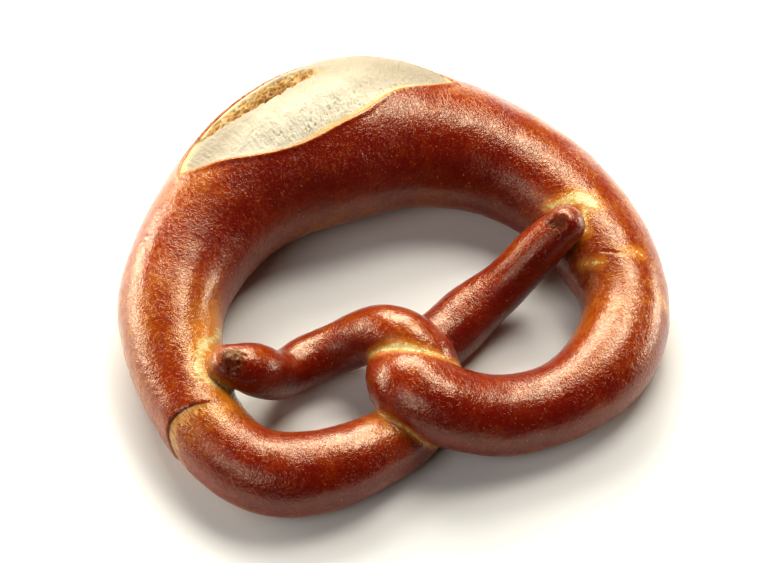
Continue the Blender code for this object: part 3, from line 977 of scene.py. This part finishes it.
class PRETZEL_OT_studio(bpy.types.Operator):
    """Lay the floor, hang the soft boxes and set up the camera"""

    bl_idname = "pretzel.studio"
    bl_label = "Set Studio"

    def execute(self, context):
        look = context.scene.pretzel_studio
        bpy.ops.object.select_all(action="DESELECT")
        bpy.ops.mesh.primitive_plane_add(size=FLOOR_SIZE)
        floor = bpy.context.object
        floor.name = floor.data.name = "studio_floor"
        n = Nodes("pale_floor")
        tone = n.noise(n.place(), 0.004, 2.0)
        floor_colour = tuple(look.floor_colour)
        shade = tuple(FLOOR_MOTTLE * part for part in floor_colour)
        n.join(n.shader.inputs["Base Color"], n.mix(tone, floor_colour, shade))
        n.shader.inputs["Roughness"].default_value = FLOOR_ROUGHNESS
        floor.data.materials.append(n.material)
        world = bpy.data.worlds.new("studio")
        world.use_nodes = True
        background = world.node_tree.nodes["Background"]
        self.room(world.node_tree, background, look)
        context.scene.world = world
        for name, azimuth, elevation, width, height, power, colour in SOFT_BOXES:
            bpy.ops.object.light_add(type="AREA")
            box = bpy.context.object
            box.name = box.data.name = name
            box.data.shape = "RECTANGLE"
            box.data.size, box.data.size_y = width, height
            box.data.energy = power * look.light_scale
            box.data.color = colour
            look_at(box, toward(math.radians(azimuth), math.radians(elevation)), BOX_DISTANCE)
        bpy.ops.object.camera_add()
        camera = bpy.context.object
        camera.name = camera.data.name = "camera"
        camera.data.lens = look.lens
        camera.data.clip_start = 0.01
        look_at(camera, toward(look.azimuth, look.elevation), look.distance)
        context.scene.camera = camera
        context.scene.view_settings.view_transform = "Standard"
        context.scene.view_settings.gamma = look.gamma
        return {"FINISHED"}

    def room(self, tree, background, look):
        """A dark room with a pale band low behind and beside the pretzel."""
        direction = tree.nodes.new("ShaderNodeSeparateXYZ")
        tree.links.new(tree.nodes.new("ShaderNodeTexCoord").outputs["Generated"], direction.inputs[0])
        shares = []
        for axis, start, end, low, high in (("Z", 0.06, 0.34, 1.0, 0.0), ("Y", -0.8, -0.3, 0.0, 1.0)):
            step = tree.nodes.new("ShaderNodeMapRange")
            step.interpolation_type = "SMOOTHSTEP"
            tree.links.new(direction.outputs[axis], step.inputs[0])
            for socket, value in zip(step.inputs[1:], (start, end, low, high)):
                socket.default_value = value
            shares.append(step.outputs[0])
        both = tree.nodes.new("ShaderNodeMath")
        both.operation = "MULTIPLY"
        for socket, share in zip(both.inputs, shares):
            tree.links.new(share, socket)
        strength = tree.nodes.new("ShaderNodeMapRange")
        tree.links.new(both.outputs[0], strength.inputs[0])
        strength.inputs["To Min"].default_value = look.room_light
        strength.inputs["To Max"].default_value = look.horizon_light
        tree.links.new(strength.outputs[0], background.inputs["Strength"])
        background.inputs["Color"].default_value = ROOM_COLOUR


class PRETZEL_PT_panel(bpy.types.Panel):
    """Lists the steps and what they use"""

    bl_idname = "PRETZEL_PT_panel"
    bl_label = "Soft Pretzel"
    bl_space_type = "VIEW_3D"
    bl_region_type = "UI"
    bl_category = "Pretzel"

    def draw(self, context):
        for operator, settings in STEPS:
            box = self.layout.box()
            box.operator(operator.bl_idname)
            group = getattr(context.scene, settings)
            for name in group.bl_rna.properties.keys():
                if name not in ("rna_type", "name"):
                    box.prop(group, name)


STEPS = (
    (PRETZEL_OT_crust, "pretzel_crust"),
    (PRETZEL_OT_crumb, "pretzel_crumb"),
    (PRETZEL_OT_studio, "pretzel_studio"),
)
SETTINGS = {"pretzel_crust": CrustSettings, "pretzel_crumb": CrumbSettings, "pretzel_studio": StudioSettings}
CLASSES = (*SETTINGS.values(), *(operator for operator, _ in STEPS), PRETZEL_PT_panel)


def register():
    for part in CLASSES:
        bpy.utils.register_class(part)
    for name, settings in SETTINGS.items():
        setattr(bpy.types.Scene, name, PointerProperty(type=settings))


def unregister():
    for name in SETTINGS:
        delattr(bpy.types.Scene, name)
    for part in reversed(CLASSES):
        bpy.utils.unregister_class(part)


def main():
    register()
    bpy.ops.pretzel.crust()
    bpy.ops.pretzel.crumb()
    bpy.ops.pretzel.studio()


if __name__ == "__main__":
    main()
